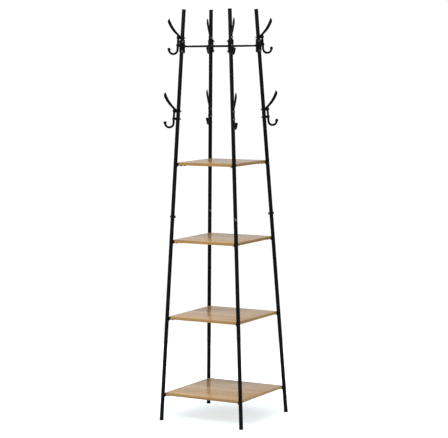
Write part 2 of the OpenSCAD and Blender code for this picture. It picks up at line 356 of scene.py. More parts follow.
class Shader:
    """A material's node tree, built by calls that take values or other nodes' outputs."""

    def __init__(self, name):
        self.material = bpy.data.materials.new(name)
        self.material.use_nodes = True
        self.tree = self.material.node_tree
        self.tree.nodes.clear()
        self.surface = self.tree.nodes.new("ShaderNodeBsdfPrincipled")
        output = self.tree.nodes.new("ShaderNodeOutputMaterial")
        self.tree.links.new(self.surface.outputs[0], output.inputs["Surface"])
        self.coords = self.tree.nodes.new("ShaderNodeTexCoord")

    def put(self, socket, value):
        if isinstance(value, bpy.types.NodeSocket):
            self.tree.links.new(value, socket)
        else:
            socket.default_value = value

    def node(self, kind, inputs, **settings):
        made = self.tree.nodes.new(kind)
        for key, value in settings.items():
            setattr(made, key, value)
        for key, value in inputs.items():
            self.put(made.inputs[key], value)
        return made

    def stretched(self, scale, offset=(0, 0, 0), source="Object"):
        """Coordinates scaled along each axis, so that a texture of scale 1 has scale features a metre."""
        return self.node(
            "ShaderNodeMapping", {"Vector": self.coords.outputs[source], "Scale": scale, "Location": offset}
        ).outputs[0]

    def noise(self, scale, detail=2.0, roughness=0.5, distortion=0.0, offset=(0, 0, 0), source="Object"):
        scale = (scale,) * 3 if np.isscalar(scale) else scale
        return self.node(
            "ShaderNodeTexNoise",
            {
                "Vector": self.stretched(scale, offset, source),
                "Scale": 1.0,
                "Detail": detail,
                "Roughness": roughness,
                "Distortion": distortion,
            },
        ).outputs["Fac"]

    def ramp(self, value, low, high, to_low=0.0, to_high=1.0):
        return self.node(
            "ShaderNodeMapRange",
            {"Value": value, "From Min": low, "From Max": high, "To Min": to_low, "To Max": to_high},
            interpolation_type="SMOOTHSTEP",
        ).outputs[0]

    def mix(self, share, first, second):
        made = self.tree.nodes.new("ShaderNodeMix")
        made.data_type = "RGBA"
        self.put(made.inputs["Factor"], share)
        self.put(made.inputs["A"], first)
        self.put(made.inputs["B"], second)
        return made.outputs["Result"]

    def maths(self, operation, first, second=0.0):
        made = self.node("ShaderNodeMath", {}, operation=operation)
        self.put(made.inputs[0], first)
        self.put(made.inputs[1], second)
        return made.outputs[0]

    def bump(self, height, distance, strength=1.0, under=None):
        inputs = {"Height": height, "Distance": distance, "Strength": strength}
        if under is not None:
            inputs["Normal"] = under
        return self.node("ShaderNodeBump", inputs).outputs[0]

    def finish(self, **sockets):
        for key, value in sockets.items():
            self.put(self.surface.inputs[key.replace("_", " ")], value)
        return self.material


def tone(red, green, blue):
    """Linear colour of an sRGB colour given as 0 to 255."""
    shares = (red / 255, green / 255, blue / 255)
    return (*(c / 12.92 if c <= 0.04045 else ((c + 0.055) / 1.055) ** 2.4 for c in shares), 1.0)


def powder_coat(name, dark, light, roughness, peel):
    """Black powder coat: a fine orange peel over slow waves, with small changes of tone and gloss."""
    s = Shader(name)
    cloud = s.noise(26, detail=3)
    grains = s.noise(1500, detail=2, roughness=0.6)
    waves = s.noise(420, detail=2)
    slow = s.noise(60, detail=2)
    colour = s.mix(s.ramp(cloud, 0.35, 0.7), dark, light)
    colour = s.mix(s.ramp(grains, 0.62, 0.74, 0.0, 0.35), colour, light)
    sheen = s.ramp(slow, 0.3, 0.7, roughness - 0.05, roughness + 0.06)
    gloss = s.maths("ADD", sheen, s.ramp(grains, 0.4, 0.7, 0, 0.06))
    normal = s.bump(slow, 0.10 * MM, 0.5)
    normal = s.bump(waves, peel, 0.8, normal)
    normal = s.bump(grains, peel / 4, 0.7, normal)
    return s.finish(Base_Color=colour, Roughness=gloss, Normal=normal, Specular_IOR_Level=0.06)


def moulded_plastic(name):
    """Matt black plastic with a fine spark-eroded grain."""
    s = Shader(name)
    grain = s.noise(2600, detail=1)
    cloud = s.noise(45, detail=3)
    colour = s.mix(s.ramp(cloud, 0.35, 0.7), tone(4, 6, 7), tone(11, 13, 14))
    gloss = s.ramp(cloud, 0.3, 0.7, 0.5, 0.62)
    return s.finish(Base_Color=colour, Roughness=gloss, Normal=s.bump(grain, 0.05 * MM, 0.8), Specular_IOR_Level=0.08)


def dark_plating(name, dark, light):
    """Black zinc on fasteners: soft metal sheen with a slight blotchiness and fine turning marks."""
    s = Shader(name)
    blotch = s.noise(320, detail=4, roughness=0.65)
    fine = s.noise(2400, detail=2)
    colour = s.mix(s.ramp(blotch, 0.35, 0.68), dark, light)
    gloss = s.maths("ADD", s.ramp(blotch, 0.35, 0.7, 0.26, 0.42), s.ramp(fine, 0.4, 0.7, 0, 0.08))
    normal = s.bump(fine, 0.03 * MM, 0.7)
    return s.finish(Base_Color=colour, Roughness=gloss, Normal=normal, Metallic=0.9)


def oak(name, light, mid, dark, gloss, source="Object"):
    """Oak woodgrain along X: slow tone bands, wavering growth lines, fine streaks and short pores."""
    s = Shader(name)

    def along(length, across):
        """Scale of a figure with length features a metre along the grain and across features a metre across it."""
        return (length, across, GRAIN_DEPTH_SCALE)

    drift = s.noise(along(2.4, 9), detail=2, offset=(3.1, 1.7, 0.4), source=source)
    bands = s.noise(along(1.6, 34), detail=3, roughness=0.6, distortion=0.35, source=source)
    lines = s.noise(along(2.2, 150), detail=3, roughness=0.65, distortion=0.5, offset=(7, 2, 5), source=source)
    streaks = s.noise(along(8, 520), detail=3, roughness=0.65, offset=(1, 9, 2), source=source)
    pores = s.noise(along(150, 2600), detail=1, offset=(4, 4, 1), source=source)
    pore_zone = s.noise(along(5, 70), detail=2, offset=(2, 8, 6), source=source)

    colour = s.mix(s.ramp(bands, 0.38, 0.62), light, mid)
    colour = s.mix(s.ramp(drift, 0.35, 0.75, 0.0, 0.4), colour, mid)
    colour = s.mix(s.ramp(lines, 0.5, 0.66, 0.0, 0.6), colour, dark)
    colour = s.mix(s.ramp(streaks, 0.45, 0.7, 0.0, 0.4), colour, dark)
    pore = s.maths("MULTIPLY", s.ramp(pores, 0.6, 0.7), s.ramp(pore_zone, 0.45, 0.62))
    colour = s.mix(s.maths("MULTIPLY", pore, 0.5), colour, dark)

    sheen = s.ramp(lines, 0.35, 0.7, gloss - 0.02, gloss + 0.05)
    roughness = s.maths("ADD", sheen, s.maths("MULTIPLY", pore, 0.15))
    ticking = s.maths("SUBTRACT", s.maths("MULTIPLY", streaks, 0.5), pore)
    normal = s.bump(ticking, 0.03 * MM, 0.6)
    return s.finish(Base_Color=colour, Roughness=roughness, Normal=normal, Specular_IOR_Level=0.5)


STEEL = powder_coat("powder_coated_steel", tone(2, 4, 5), tone(5, 8, 9), 0.38, 0.016 * MM)
CASTING = powder_coat("powder_coated_casting", tone(2, 3, 3), tone(5, 6, 7), 0.36, 0.025 * MM)
PLASTIC = moulded_plastic("moulded_plastic")
PLATING = dark_plating("dark_plating", tone(62, 64, 67), tone(104, 107, 111))
# A darker copy of the plating, for the shelf screws under the boards
DARKER_PLATING = dark_plating("darker_plating", tone(24, 25, 27), tone(44, 46, 49))
LAMINATE = oak("oak_laminate", tone(211, 177, 131), tone(191, 155, 108), tone(134, 99, 60), gloss=0.17)
EDGE_BAND = oak("oak_edge_band", tone(150, 115, 56), tone(132, 99, 42), tone(94, 66, 24), source="UV", gloss=0.34)

# ---- Legs and caps ----

END_R = 0.35 * MM
SEAM_GAP = 0.1 * MM
PLUG_END_R = 1.5 * MM


def tube_part(outer, inner, low, high):
    return turned(fillet([(inner, low), (outer, low), (outer, high), (inner, high)], END_R))


def lower_leg_part():
    """Tube whose upper end is swaged down to fit inside the upper tube."""
    bore = TUBE_R - TUBE_WALL
    spigot_bore = SPIGOT_R - TUBE_WALL
    shoulder = SEAM_S - SEAM_GAP
    inside = SEAM_S - 1.6 * MM
    tip = SEAM_S + SPIGOT_L
    profile = [
        (bore, FOOT_CAP_H),
        (TUBE_R, FOOT_CAP_H),
        (TUBE_R, shoulder),
        (SPIGOT_R, shoulder),
        (SPIGOT_R, tip),
        (spigot_bore, tip),
        (spigot_bore, inside),
        (bore, inside - TUBE_WALL),
    ]
    radii = [END_R, END_R, 0.6 * MM, 0, END_R, END_R, 0.5 * MM, 0.5 * MM]
    return turned(fillet(profile, radii))


def foot_cap_part():
    """Plug with a rim that carries the leg; its lower face is level with the floor when the leg leans."""
    lip = TUBE_R + CAP_LIP
    dish = 0.9 * MM
    plug_end = FOOT_CAP_H + CAP_PLUG_L
    profile = [
        (CORE_R, dish),
        (lip - 3.2 * MM, dish),
        (lip - 2.6 * MM, 0),
        (lip, 0),
        (lip, FOOT_CAP_H),
        (SPIGOT_R, FOOT_CAP_H),
        (SPIGOT_R, plug_end),
        (CORE_R, plug_end),
    ]
    radii = [0, 0.4 * MM, 0.2 * MM, 1.1 * MM, 0.7 * MM, 0.2 * MM, PLUG_END_R, 0]
    part = turned(fillet(profile, radii), loop=False)
    share = np.clip(1 - part.points[:, 2] / FOOT_CAP_H, 0, 1)
    part.points[:, 2] -= part.points[:, 0] * math.tan(LEAN) * share
    return part


def top_cap_part():
    """Plug with a slightly domed button top."""
    lip = TUBE_R + CAP_LIP
    dome = 0.7 * MM
    top = LEG_TOP_S + TOP_CAP_H
    plug_end = LEG_TOP_S - CAP_PLUG_L
    profile = [
        (CORE_R, plug_end),
        (SPIGOT_R, plug_end),
        (SPIGOT_R, LEG_TOP_S),
        (lip, LEG_TOP_S),
        (lip, top - dome),
        (lip * 0.55, top - dome * 0.25),
        (CORE_R, top),
    ]
    radii = [0, PLUG_END_R, 0.2 * MM, 0.5 * MM, 1.3 * MM, 8 * MM, 0]
    return turned(fillet(profile, radii), loop=False)


LOWER_TUBE = lower_leg_part()
UPPER_TUBE = tube_part(TUBE_R, TUBE_R - TUBE_WALL, SEAM_S, LEG_TOP_S)
FOOT_CAP = foot_cap_part()
TOP_CAP = top_cap_part()

for i, corner in enumerate(CORNERS):
    for node, part, material, slot, suffix in (
        ("lower_leg", LOWER_TUBE, STEEL, "black_steel", "tube"),
        ("upper_leg", UPPER_TUBE, STEEL, "black_steel", "tube"),
        ("foot_cap", FOOT_CAP, PLASTIC, "black_plastic", "moulding"),
        ("top_cap", TOP_CAP, PLASTIC, "black_plastic", "moulding"),
    ):
        piece = Part().merge(part, on_leg(i, 0)).object(f"{node}_{corner}_{suffix}")
        place(piece, material, [f"{node}_{corner}"])

# ---- Shelves ----

BOARD_EDGE_R = 0.2 * MM
BAND_ARRIS_R = 0.55 * MM
BAND_INNER_R = 0.15 * MM
# Moves each shelf's strip along the grain by this many times its height, so that no two strips are alike
BAND_SHIFT = 40

def rounded_square(half, radius, steps=10):
    return fillet([(half, -half), (half, half), (-half, half), (-half, -half)], radius, steps)


def edge_band(half, radius, low, high, thickness):
    """Strip of edging round a board, with a UV map of its length and height in metres."""
    outline = rounded_square(half, radius)
    normals = outline_normals(outline)
    arris = [BAND_INNER_R, BAND_ARRIS_R, BAND_ARRIS_R, BAND_INNER_R]
    profile = fillet([(-thickness, low), (0, low), (0, high), (-thickness, high)], arris, 3)
    rings = [np.c_[p + np.outer(profile[:, 0], n), profile[:, 1]] for p, n in zip(outline, normals)]
    made = loft(rings, loop=True)
    lengths = np.r_[0, np.cumsum(np.linalg.norm(np.roll(outline, -1, 0) - outline, axis=1))]
    sides = len(profile)
    uvs = []
    for f in made.faces:
        seam = {v // sides for v in f} == {0, len(outline) - 1}
        for v in f:
            ring = v // sides
            run = lengths[-1] if seam and ring == 0 else lengths[ring]
            uvs.append((run + low * BAND_SHIFT, made.points[v][2]))
    return made, uvs


for k, shelf in enumerate(SHELVES):
    low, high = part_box(f"shelf_{shelf}")
    half = high.x
    board = prism(rounded_square(half - BAND_T, SHELF_CORNER_R - BAND_T), low.z, high.z, BOARD_EDGE_R, 2)
    place(board.object(f"shelf_{shelf}_board"), LAMINATE, [f"shelf_{shelf}"])
    strip, uvs = edge_band(half, SHELF_CORNER_R, low.z, high.z, BAND_T)
    mesh = bpy.data.meshes.new(f"shelf_{shelf}_edge_band")
    mesh.from_pydata(strip.points.tolist(), [], strip.faces)
    layer = mesh.uv_layers.new(name="along_band")
    layer.data.foreach_set("uv", np.array(uvs, float).ravel())
    band = bpy.data.objects.new(mesh.name, mesh)
    bpy.context.scene.collection.objects.link(band)
    place(band, EDGE_BAND, [])

# ---- Shelf brackets ----

TAB_WELD_Y = 4.6 * MM
TAB_WELD_INSET = 1.2 * MM
TAB_WELD_R = 1.15 * MM
FOOT_WELD_R = 0.9 * MM
PLATE_EDGE_R = 0.3 * MM
TAB_CORNER_R = 1.6 * MM

def tab_part():
    """Plate that lies along the leg, in the leg frame with its lower end at z = 0, and its welds."""
    half_w = BRACKET_W / 2
    height = BRACKET_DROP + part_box("shelf_top")[1].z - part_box("shelf_top")[0].z - BRACKET_RISE
    outline = fillet([(half_w, 0), (half_w, height), (-half_w, height), (-half_w, 0)], TAB_CORNER_R)
    plate = prism(outline, 0, BRACKET_T, PLATE_EDGE_R)
    stand = Matrix(((0, 0, 1, -TUBE_R - BRACKET_T), (1, 0, 0, 0), (0, 1, 0, 0), (0, 0, 0, 1)))
    part = Part().merge(plate, stand)
    gap_x = -(TUBE_R + math.sqrt(TUBE_R**2 - TAB_WELD_Y**2)) / 2
    for side in (-1, 1):
        ends = [(gap_x, side * TAB_WELD_Y, z) for z in (TAB_WELD_INSET, height - TAB_WELD_INSET)]
        part.merge(weld_bead(*ends, TAB_WELD_R))
    return part


def foot_part(length):
    """Strip under the board, along +X from its round end to the weld at the tab, its upper face at z = 0."""
    half_w = BRACKET_FOOT_W / 2
    turns = np.linspace(QUARTER, 3 * QUARTER, 13)
    round_end = [(half_w + half_w * math.cos(t), half_w * math.sin(t)) for t in turns]
    outline = np.array(round_end + [(length, -half_w), (length, half_w)])
    part = prism(outline, -BRACKET_T, 0, PLATE_EDGE_R)
    ends = [(length - 0.8 * MM, y, -BRACKET_T - 0.1 * MM) for y in (1 * MM - half_w, half_w - 1 * MM)]
    return part.merge(weld_bead(*ends, FOOT_WELD_R))


TAB = tab_part()
FOOT = foot_part(BRACKET_REACH - TUBE_R - BRACKET_T / 2)
for shelf in SHELVES:
    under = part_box(f"shelf_{shelf}")[0].z
    for i, corner in enumerate(CORNERS):
        node = f"shelf_bracket_{shelf}_{corner}"
        bracket = Part().merge(TAB, on_leg(i, under) @ up(-BRACKET_DROP))
        bracket.merge(FOOT, to_corner(i) @ Matrix.Translation((leg_r(under) - BRACKET_REACH, 0, under)))
        place(bracket.object(f"{node}_plate"), STEEL, [node])

# ---- Rails and their brackets ----

CHANNEL_EDGE_R = 0.35 * MM
RAIL_SUNK = 0.5 * MM
RAIL_END_R = 0.3 * MM
WEB_R = leg_r(RAIL_H + RAIL_BRACKET_H / 2) - TUBE_R / math.cos(LEAN) - RAIL_BRACKET_T
FLANGE_END_R = leg_r(RAIL_H) + RAIL_BRACKET_REACH


def rail_bracket_part():
    """U-shaped channel on the +X corner, bent from sheet, with the flanges' outer corners rounded."""
    half_w = TUBE_R + RAIL_BRACKET_T / 2
    half_h = RAIL_BRACKET_H / 2
    mid_r = RAIL_BRACKET_BEND_R - RAIL_BRACKET_T / 2
    web = WEB_R + RAIL_BRACKET_T / 2
    corner = RAIL_BRACKET_CORNER_R
    steps = [corner * (1 - math.cos(t)) for t in np.linspace(0, QUARTER, 9)]
    flange = [(FLANGE_END_R - s, half_w) for s in steps] + [(web, half_w), (web, -half_w)]
    flange += [(FLANGE_END_R - s, -half_w) for s in reversed(steps)]
    radii = [0] * len(steps) + [mid_r, mid_r] + [0] * len(steps)
    line = fillet(flange, radii, 6, loop=False)
    normals = []
    for k in range(len(line)):
        ahead = line[min(k + 1, len(line) - 1)] - line[max(k - 1, 0)]
        normals.append(np.array([ahead[1], -ahead[0]]) / np.linalg.norm(ahead))
    rings = []
    for p, n in zip(line, normals):
        inset = FLANGE_END_R - p[0]
        drop = corner - math.sqrt(max(0, corner**2 - (corner - inset) ** 2)) if inset < corner else 0
        top = half_h - drop
        t = RAIL_BRACKET_T / 2
        profile = fillet([(-t, -top), (t, -top), (t, top), (-t, top)], CHANNEL_EDGE_R, 3)
        rings.append([(*(p + n * a), RAIL_H + b) for a, b in profile])
    return loft(rings)


RAIL_BRACKET = rail_bracket_part()
for i, corner in enumerate(CORNERS):
    node = f"rail_bracket_{corner}"
    place(Part().merge(RAIL_BRACKET, to_corner(i)).object(f"{node}_channel"), STEEL, [node])


def rail_part():
    """Round bar along the front, its ends just inside the bends of the two brackets that it is welded to."""
    low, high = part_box("rail_front")
    start, end = -RAIL_SUNK, high.x - low.x + RAIL_SUNK
    profile = [(CORE_R, start), (RAIL_R, start), (RAIL_R, end), (CORE_R, end)]
    bar = turned(fillet(profile, [0, RAIL_END_R, RAIL_END_R, 0]), 40, loop=False)
    return Part().merge(bar, Matrix.Translation((low.x, (low.y + high.y) / 2, RAIL_H)) @ OUTWARDS)


RAIL = rail_part()
for i, side in enumerate(SIDES):
    node = f"rail_{side}"
    turn = Matrix.Rotation(QUARTER * i, 4, "Z")
    place(Part().merge(RAIL, turn).object(f"{node}_bar"), STEEL, [node])

# ---- Fasteners, each standing on z = 0 and pointing up; each stops at its own angle ----

FASTENER_SHARP = 40
RECESS_TURN = 0.35
HEAD_EDGE = 0.15 * MM
NUT_BORE_CHAMFER = 0.35 * MM
THREAD_DEPTH_SHARE = 0.38


def head_part(diameter, height, recess, sides=40):
    """Pan head with a cross recess that tapers towards its bottom."""
    r = diameter / 2
    rim = height * 0.28
    dome_r = (r * r + (height - rim) ** 2) / (2 * (height - rim))
    half_turn = math.asin(r / dome_r)
    dome = [
        (dome_r * math.sin(t), height - dome_r + dome_r * math.cos(t)) for t in np.linspace(half_turn, POLE_GAP, 12)
    ]
    profile = [(AXIS_R, 0), (r - HEAD_EDGE, 0), (r, HEAD_EDGE)] + dome
    head = turned(profile, sides, loop=False).object("head")
    bottom, top = height - 0.42 * recess, height + 0.5 * MM
    rings = [
        [(x * half_l, y * half_w, z) for x, y in ((1, 1), (-1, 1), (-1, -1), (1, -1))]
        for half_l, half_w, z in ((0.24 * recess, 0.09 * recess, bottom), (0.58 * recess, 0.13 * recess, top))
    ]
    for turn in (0, QUARTER):
        slot = Part().merge(loft(rings), spin(turn + RECESS_TURN))
        cut(head, slot.object("recess"))
    return as_part(head)


def nut_part(across_flats, height, bore_r, sectors=10):
    """Hexagon nut with turned chamfers on its corners."""
    flat_r = across_flats / 2
    chamfer = math.tan(math.radians(30))
    angles = np.arange(6 * sectors) * math.pi / (3 * sectors)
    hexagon = flat_r / np.cos((angles + math.pi / 6) % (math.pi / 3) - math.pi / 6)
    drop = (hexagon - flat_r * 0.985) * chamfer

    def ring(radius, z):
        return np.stack([radius * np.cos(angles), radius * np.sin(angles), np.broadcast_to(z, angles.shape)], 1)

    sink = NUT_BORE_CHAMFER
    flat = np.full_like(angles, flat_r * 0.97)
    bore = np.full_like(angles, bore_r)
    rings = [
        ring(bore, sink),
        ring(bore + sink, 0.0),
        ring(flat, 0.0),
        ring(hexagon, drop),
        ring(hexagon, height - drop),
        ring(flat, height),
        ring(bore + sink, height),
        ring(bore, height - sink),
    ]
    return loft(rings, loop=True)


def thread_part(radius, length, pitch, sides=24):
    """Threaded end of a screw, along +Z to a chamfered tip."""
    rings_per_turn = 6
    count = int(length / pitch * rings_per_turn) + 1
    depth = THREAD_DEPTH_SHARE * pitch
    a = np.arange(sides) * 2 * math.pi / sides
    rings = []
    for n in range(count + 1):
        z = length * n / count
        phase = (z / pitch - np.arange(sides) / sides) % 1
        r = radius - depth * np.abs(2 * phase - 1)
        r = np.minimum(r, radius - depth + max(0.0, length - z))
        rings.append(np.stack([r * np.cos(a), r * np.sin(a), np.full(sides, z)], 1))
    return loft(rings)


# Head diameter and height, recess size, shank radius and thread pitch
HOOK_SCREW = (8 * MM, 2.7 * MM, 4.6 * MM, 1.95 * MM, 0.7 * MM)
RAIL_BOLT = (9 * MM, 3.6 * MM, 5.2 * MM, 2.45 * MM, 0.8 * MM)
JOINT_BOLT = (12 * MM, 4.2 * MM, 6.6 * MM, 2.95 * MM, 1 * MM)
SHELF_SCREW = (8.5 * MM, 3.6 * MM, 4.8 * MM, 1.7 * MM, 1.3 * MM)
# Nut sizes across flats, their heights and bore radii, and how far a screw's end stands out of its nut
HOOK_NUT_AF, HOOK_NUT_H, HOOK_NUT_BORE, SCREW_END = 7 * MM, 3.2 * MM, 2 * MM, 2.6 * MM
RAIL_NUT_AF, RAIL_NUT_H, RAIL_NUT_BORE, RAIL_BOLT_END = 8 * MM, 4 * MM, 2.5 * MM, 3 * MM
JOINT_NUT_AF, JOINT_NUT_H, JOINT_NUT_BORE = 10 * MM, 5 * MM, 3 * MM
SHELF_SCREW_DEPTH = 9.5 * MM
RUN_OUT = 1 * MM


def screw_part(head_d, head_h, recess, radius, pitch, grip, thread_l):
    """Head above z = 0, with a plain shank and a threaded end below it."""
    part = Part().merge(head_part(head_d, head_h, recess))
    inside = 0.3 * MM
    profile = [(AXIS_R, -grip), (radius, -grip), (radius, inside), (AXIS_R, inside)]
    part.merge(turned(profile, 24, loop=False))
    return part.merge(thread_part(radius, thread_l, pitch), up(-grip) @ UPSIDE_DOWN)


def hook_nut_seat(row, drop):
    """Distance inwards from the leg's centre line to a hook nut: one screw also holds the rail bracket's web."""
    if row == "upper" and drop > 0:
        return leg_r(HOOK_HEIGHTS[row] - drop) - WEB_R + HOOK_NUT_AF * math.tan(LEAN)
    return TUBE_R


hook_screws, hook_nuts = Part(), Part()
hook_nut = nut_part(HOOK_NUT_AF, HOOK_NUT_H, HOOK_NUT_BORE)
for row, height in HOOK_HEIGHTS.items():
    for drop in (0, HOOK_PITCH):
        seat = hook_nut_seat(row, drop)
        screw = screw_part(*HOOK_SCREW, HOOK_SEAT + seat - RUN_OUT, HOOK_NUT_H + SCREW_END + RUN_OUT)
        for i in range(4):
            at = on_leg(i, height) @ up(-drop)
            hook_screws.merge(screw, at @ OUTWARDS @ up(HOOK_SEAT))
            hook_nuts.merge(hook_nut, at @ INWARDS @ up(seat) @ spin(0.4 + 0.9 * i + 30 * drop))
place(hook_screws.object("hook_screws_set"), PLATING, ["hook_screws"], FASTENER_SHARP)
place(hook_nuts.object("hook_nuts_set"), PLATING, ["hook_nuts"], FASTENER_SHARP)

joint_bolts, joint_nuts = Part(), Part()
joint_bolt = screw_part(*JOINT_BOLT, 2 * TUBE_R - RUN_OUT, JOINT_NUT_H + RUN_OUT)
joint_nut = nut_part(JOINT_NUT_AF, JOINT_NUT_H, JOINT_NUT_BORE)
for i in range(4):
    at = on_leg(i, JOINT_H)
    joint_bolts.merge(joint_bolt, at @ OUTWARDS @ up(TUBE_R))
    joint_nuts.merge(joint_nut, at @ INWARDS @ up(TUBE_R) @ spin(0.3 + 0.7 * i))
place(joint_bolts.object("leg_joint_bolts_set"), PLATING, ["leg_joint_bolts"], FASTENER_SHARP)
place(joint_nuts.object("leg_joint_nuts_set"), PLATING, ["leg_joint_nuts"], FASTENER_SHARP)

rail_bolts, rail_nuts = Part(), Part()
channel_w = 2 * (TUBE_R + RAIL_BRACKET_T)
rail_bolt = screw_part(*RAIL_BOLT, channel_w - RUN_OUT, RAIL_NUT_H + RAIL_BOLT_END + RUN_OUT)
rail_nut = nut_part(RAIL_NUT_AF, RAIL_NUT_H, RAIL_NUT_BORE)
for i in range(4):
    for dz in (-RAIL_BOLT_OFFSET, RAIL_BOLT_OFFSET):
        at = to_corner(i) @ Matrix.Translation((leg_r(RAIL_H + dz), 0, RAIL_H + dz))
        rail_bolts.merge(rail_bolt, at @ TANGENTIAL @ up(channel_w / 2))
        rail_nuts.merge(rail_nut, at @ BACKWARDS @ up(channel_w / 2) @ spin(0.2 + 0.8 * i + 20 * dz))
place(rail_bolts.object("rail_bracket_bolts_set"), PLATING, ["rail_bracket_bolts"], FASTENER_SHARP)
place(rail_nuts.object("rail_bracket_nuts_set"), PLATING, ["rail_bracket_nuts"], FASTENER_SHARP)

shelf_screws = Part()
shelf_screw = screw_part(*SHELF_SCREW, BRACKET_T, SHELF_SCREW_DEPTH - RUN_OUT)
for k, shelf in enumerate(SHELVES):
    low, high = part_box(f"shelf_{shelf}")
    for i in range(4):
        for reach in SHELF_SCREW_REACH:
            at = to_corner(i) @ Matrix.Translation((leg_r(high.z) - reach, 0, low.z - BRACKET_T))
            shelf_screws.merge(shelf_screw, at @ UPSIDE_DOWN @ spin(0.5 * k + 1.1 * i + 40 * reach))
place(shelf_screws.object("shelf_screws_set"), DARKER_PLATING, ["shelf_screws"], FASTENER_SHARP)

# ---- Coat hooks, in the leg frame with the upper screw's axis along X at the origin ----

HOOK_SHARP = 80
HOOK_VOXEL = 0.55 * MM
HOOK_WEB_T = 7 * MM
BOSS_ON_LEG = 1.9 * MM

arm_chord = ARM_END - ARM_START
arm_length = float(np.linalg.norm(arm_chord))
arm_r = arm_length**2 / (8 * ARM_SAGITTA) + ARM_SAGITTA / 2
arm_half_turn = math.asin(arm_length / (2 * arm_r))
arm_from = math.atan2(arm_chord[1], arm_chord[0]) - arm_half_turn - QUARTER
arm_centre = ARM_START - arm_r * np.array([math.cos(arm_from), math.sin(arm_from)])


def arm_depth(f):
    """Depth of the arm at a share f of its length: it swells to a leaf and runs out to a point."""
    if f < ARM_TIP_FROM:
        return ARM_ROOT_T + (ARM_LEAF_T - ARM_ROOT_T) * math.sin(QUARTER * min(f / ARM_LEAF_FROM, 1))
    return ARM_LEAF_T * (1 - ((f - ARM_TIP_FROM) / (1 - ARM_TIP_FROM)) ** ARM_TIP_POWER)


def arm_width(f):
    """Width of the arm across the hook's plane: it has a slight waist and narrows towards the tip."""
    waist = 1.4 * math.sin(math.pi * min(f / 0.75, 1))
    narrowing = 0.62 * max(0, (f - 0.8) / 0.2) ** 1.8
    return (8.6 - waist) * MM * (1 - narrowing)


def in_plane(points):
    """Points of the hook's middle plane, given as (outwards, upwards), in three dimensions."""
    points = np.asarray(points, float)
    return np.stack([points[:, 0], np.zeros(len(points)), points[:, 1]], 1)


def plane_sweep(line, profiles):
    """Skin along a line in the hook's plane; a profile's first coordinate is across the line, the second along Y."""
    line = np.asarray(line, float)
    ahead = np.gradient(line, axis=0)
    ahead /= np.linalg.norm(ahead, axis=1)[:, None]
    across = np.stack([-ahead[:, 1], np.zeros(len(line)), ahead[:, 0]], 1)
    return swept(in_plane(line), [(a, (0, 1, 0)) for a in across], profiles)


def hook_mesh():
    """Hook as one casting: its members overlap, then a fine remesh joins them and smoothing rounds their corners."""
    rough = Part()

    shares = np.linspace(0, 0.995, 70)
    depths = [max(arm_depth(f), 0.8 * MM) for f in shares]
    angles = [arm_from + 2 * arm_half_turn * f for f in shares]
    line = [arm_centre + (arm_r + d / 2) * np.array([math.cos(a), math.sin(a)]) for a, d in zip(angles, depths)]
    rough.merge(plane_sweep(line, [superellipse(d / 2, arm_width(f) / 2, 2.5) for f, d in zip(shares, depths)]))

    shank = [(HOOK_REACH, s) for s in np.linspace(HOOK_WIRE_R, HOOK_BEND_S, 20)]
    bend_centre = np.array([HOOK_REACH + HOOK_BEND_R, HOOK_BEND_S])
    turns = np.linspace(math.pi, 2 * math.pi, 48)[1:]
    shank += [tuple(bend_centre + HOOK_BEND_R * np.array([math.cos(t), math.sin(t)])) for t in turns]
    rough.merge(plane_sweep(shank, [superellipse(HOOK_WIRE_R, HOOK_WIRE_R, 2)] * len(shank)))
    rough.merge(ball((HOOK_REACH + 2 * HOOK_BEND_R, 0, HOOK_BEND_S), HOOK_BALL_R))
    rough.merge(ball((HOOK_REACH, 0, HOOK_WIRE_R), HOOK_WIRE_R))

    inner = TUBE_R - BOSS_ON_LEG
    boss = [(AXIS_R, inner), (HOOK_BOSS_R, inner), (HOOK_BOSS_R, HOOK_SEAT), (AXIS_R, HOOK_SEAT)]
    for drop in (0, HOOK_PITCH):
        rough.merge(turned(fillet(boss, [0, 0, 0.5 * MM, 0]), 40, loop=False), up(-drop) @ OUTWARDS)

    def arm_point(f, depth):
        a = arm_from + 2 * arm_half_turn * f
        return arm_centre + (arm_r + depth) * np.array([math.cos(a), math.sin(a)])

    web = [
        (TUBE_R, -HOOK_BOSS_R - 0.5 * MM),
        (HOOK_REACH, -8.5 * MM),
        tuple(arm_point(0.25, 4.5 * MM)),
        tuple(arm_point(0.02, 2.2 * MM)),
        (TUBE_R, ARM_START[1] - 2 * MM),
    ]
    stand = Matrix(((1, 0, 0, 0), (0, 0, -1, 0), (0, 1, 0, 0), (0, 0, 0, 1)))
    plate = prism(fillet(web, 1 * MM, 3), -HOOK_WEB_T / 2, HOOK_WEB_T / 2, 1.2 * MM)
    rough.merge(plate, stand)

    made = rough.object("hook")
    step = made.modifiers.new("join", "REMESH")
    step.mode = "VOXEL"
    step.voxel_size = HOOK_VOXEL
    step = made.modifiers.new("soften", "SMOOTH")
    step.factor = 0.5
    step.iterations = 7
    apply_modifiers(made)
    mesh = made.data
    bpy.data.objects.remove(made)
    return mesh


HOOK = hook_mesh()
for row, height in HOOK_HEIGHTS.items():
    for i, corner in enumerate(CORNERS):
        node = f"coat_hook_{row}_{corner}"
        hook = bpy.data.objects.new(f"{node}_casting", HOOK)
        bpy.context.scene.collection.objects.link(hook)
        hook.matrix_world = on_leg(i, height)
        place(hook, CASTING, [node], HOOK_SHARP)

# ---- Studio ----

# The floor is a round sheet that glows. Its glow rises from the middle's value to full white over the fade's two
# radii, so that the dimmer middle is a painted shadow under the stand.
FLOOR_R = 1.9
FLOOR_T = 0.02
FLOOR_SIDES = 96
FLOOR_CORE_R = 0.001
FLOOR_SHADOW_GLOW = 0.55
FLOOR_SHADOW_FADE = (0.12, 0.5)

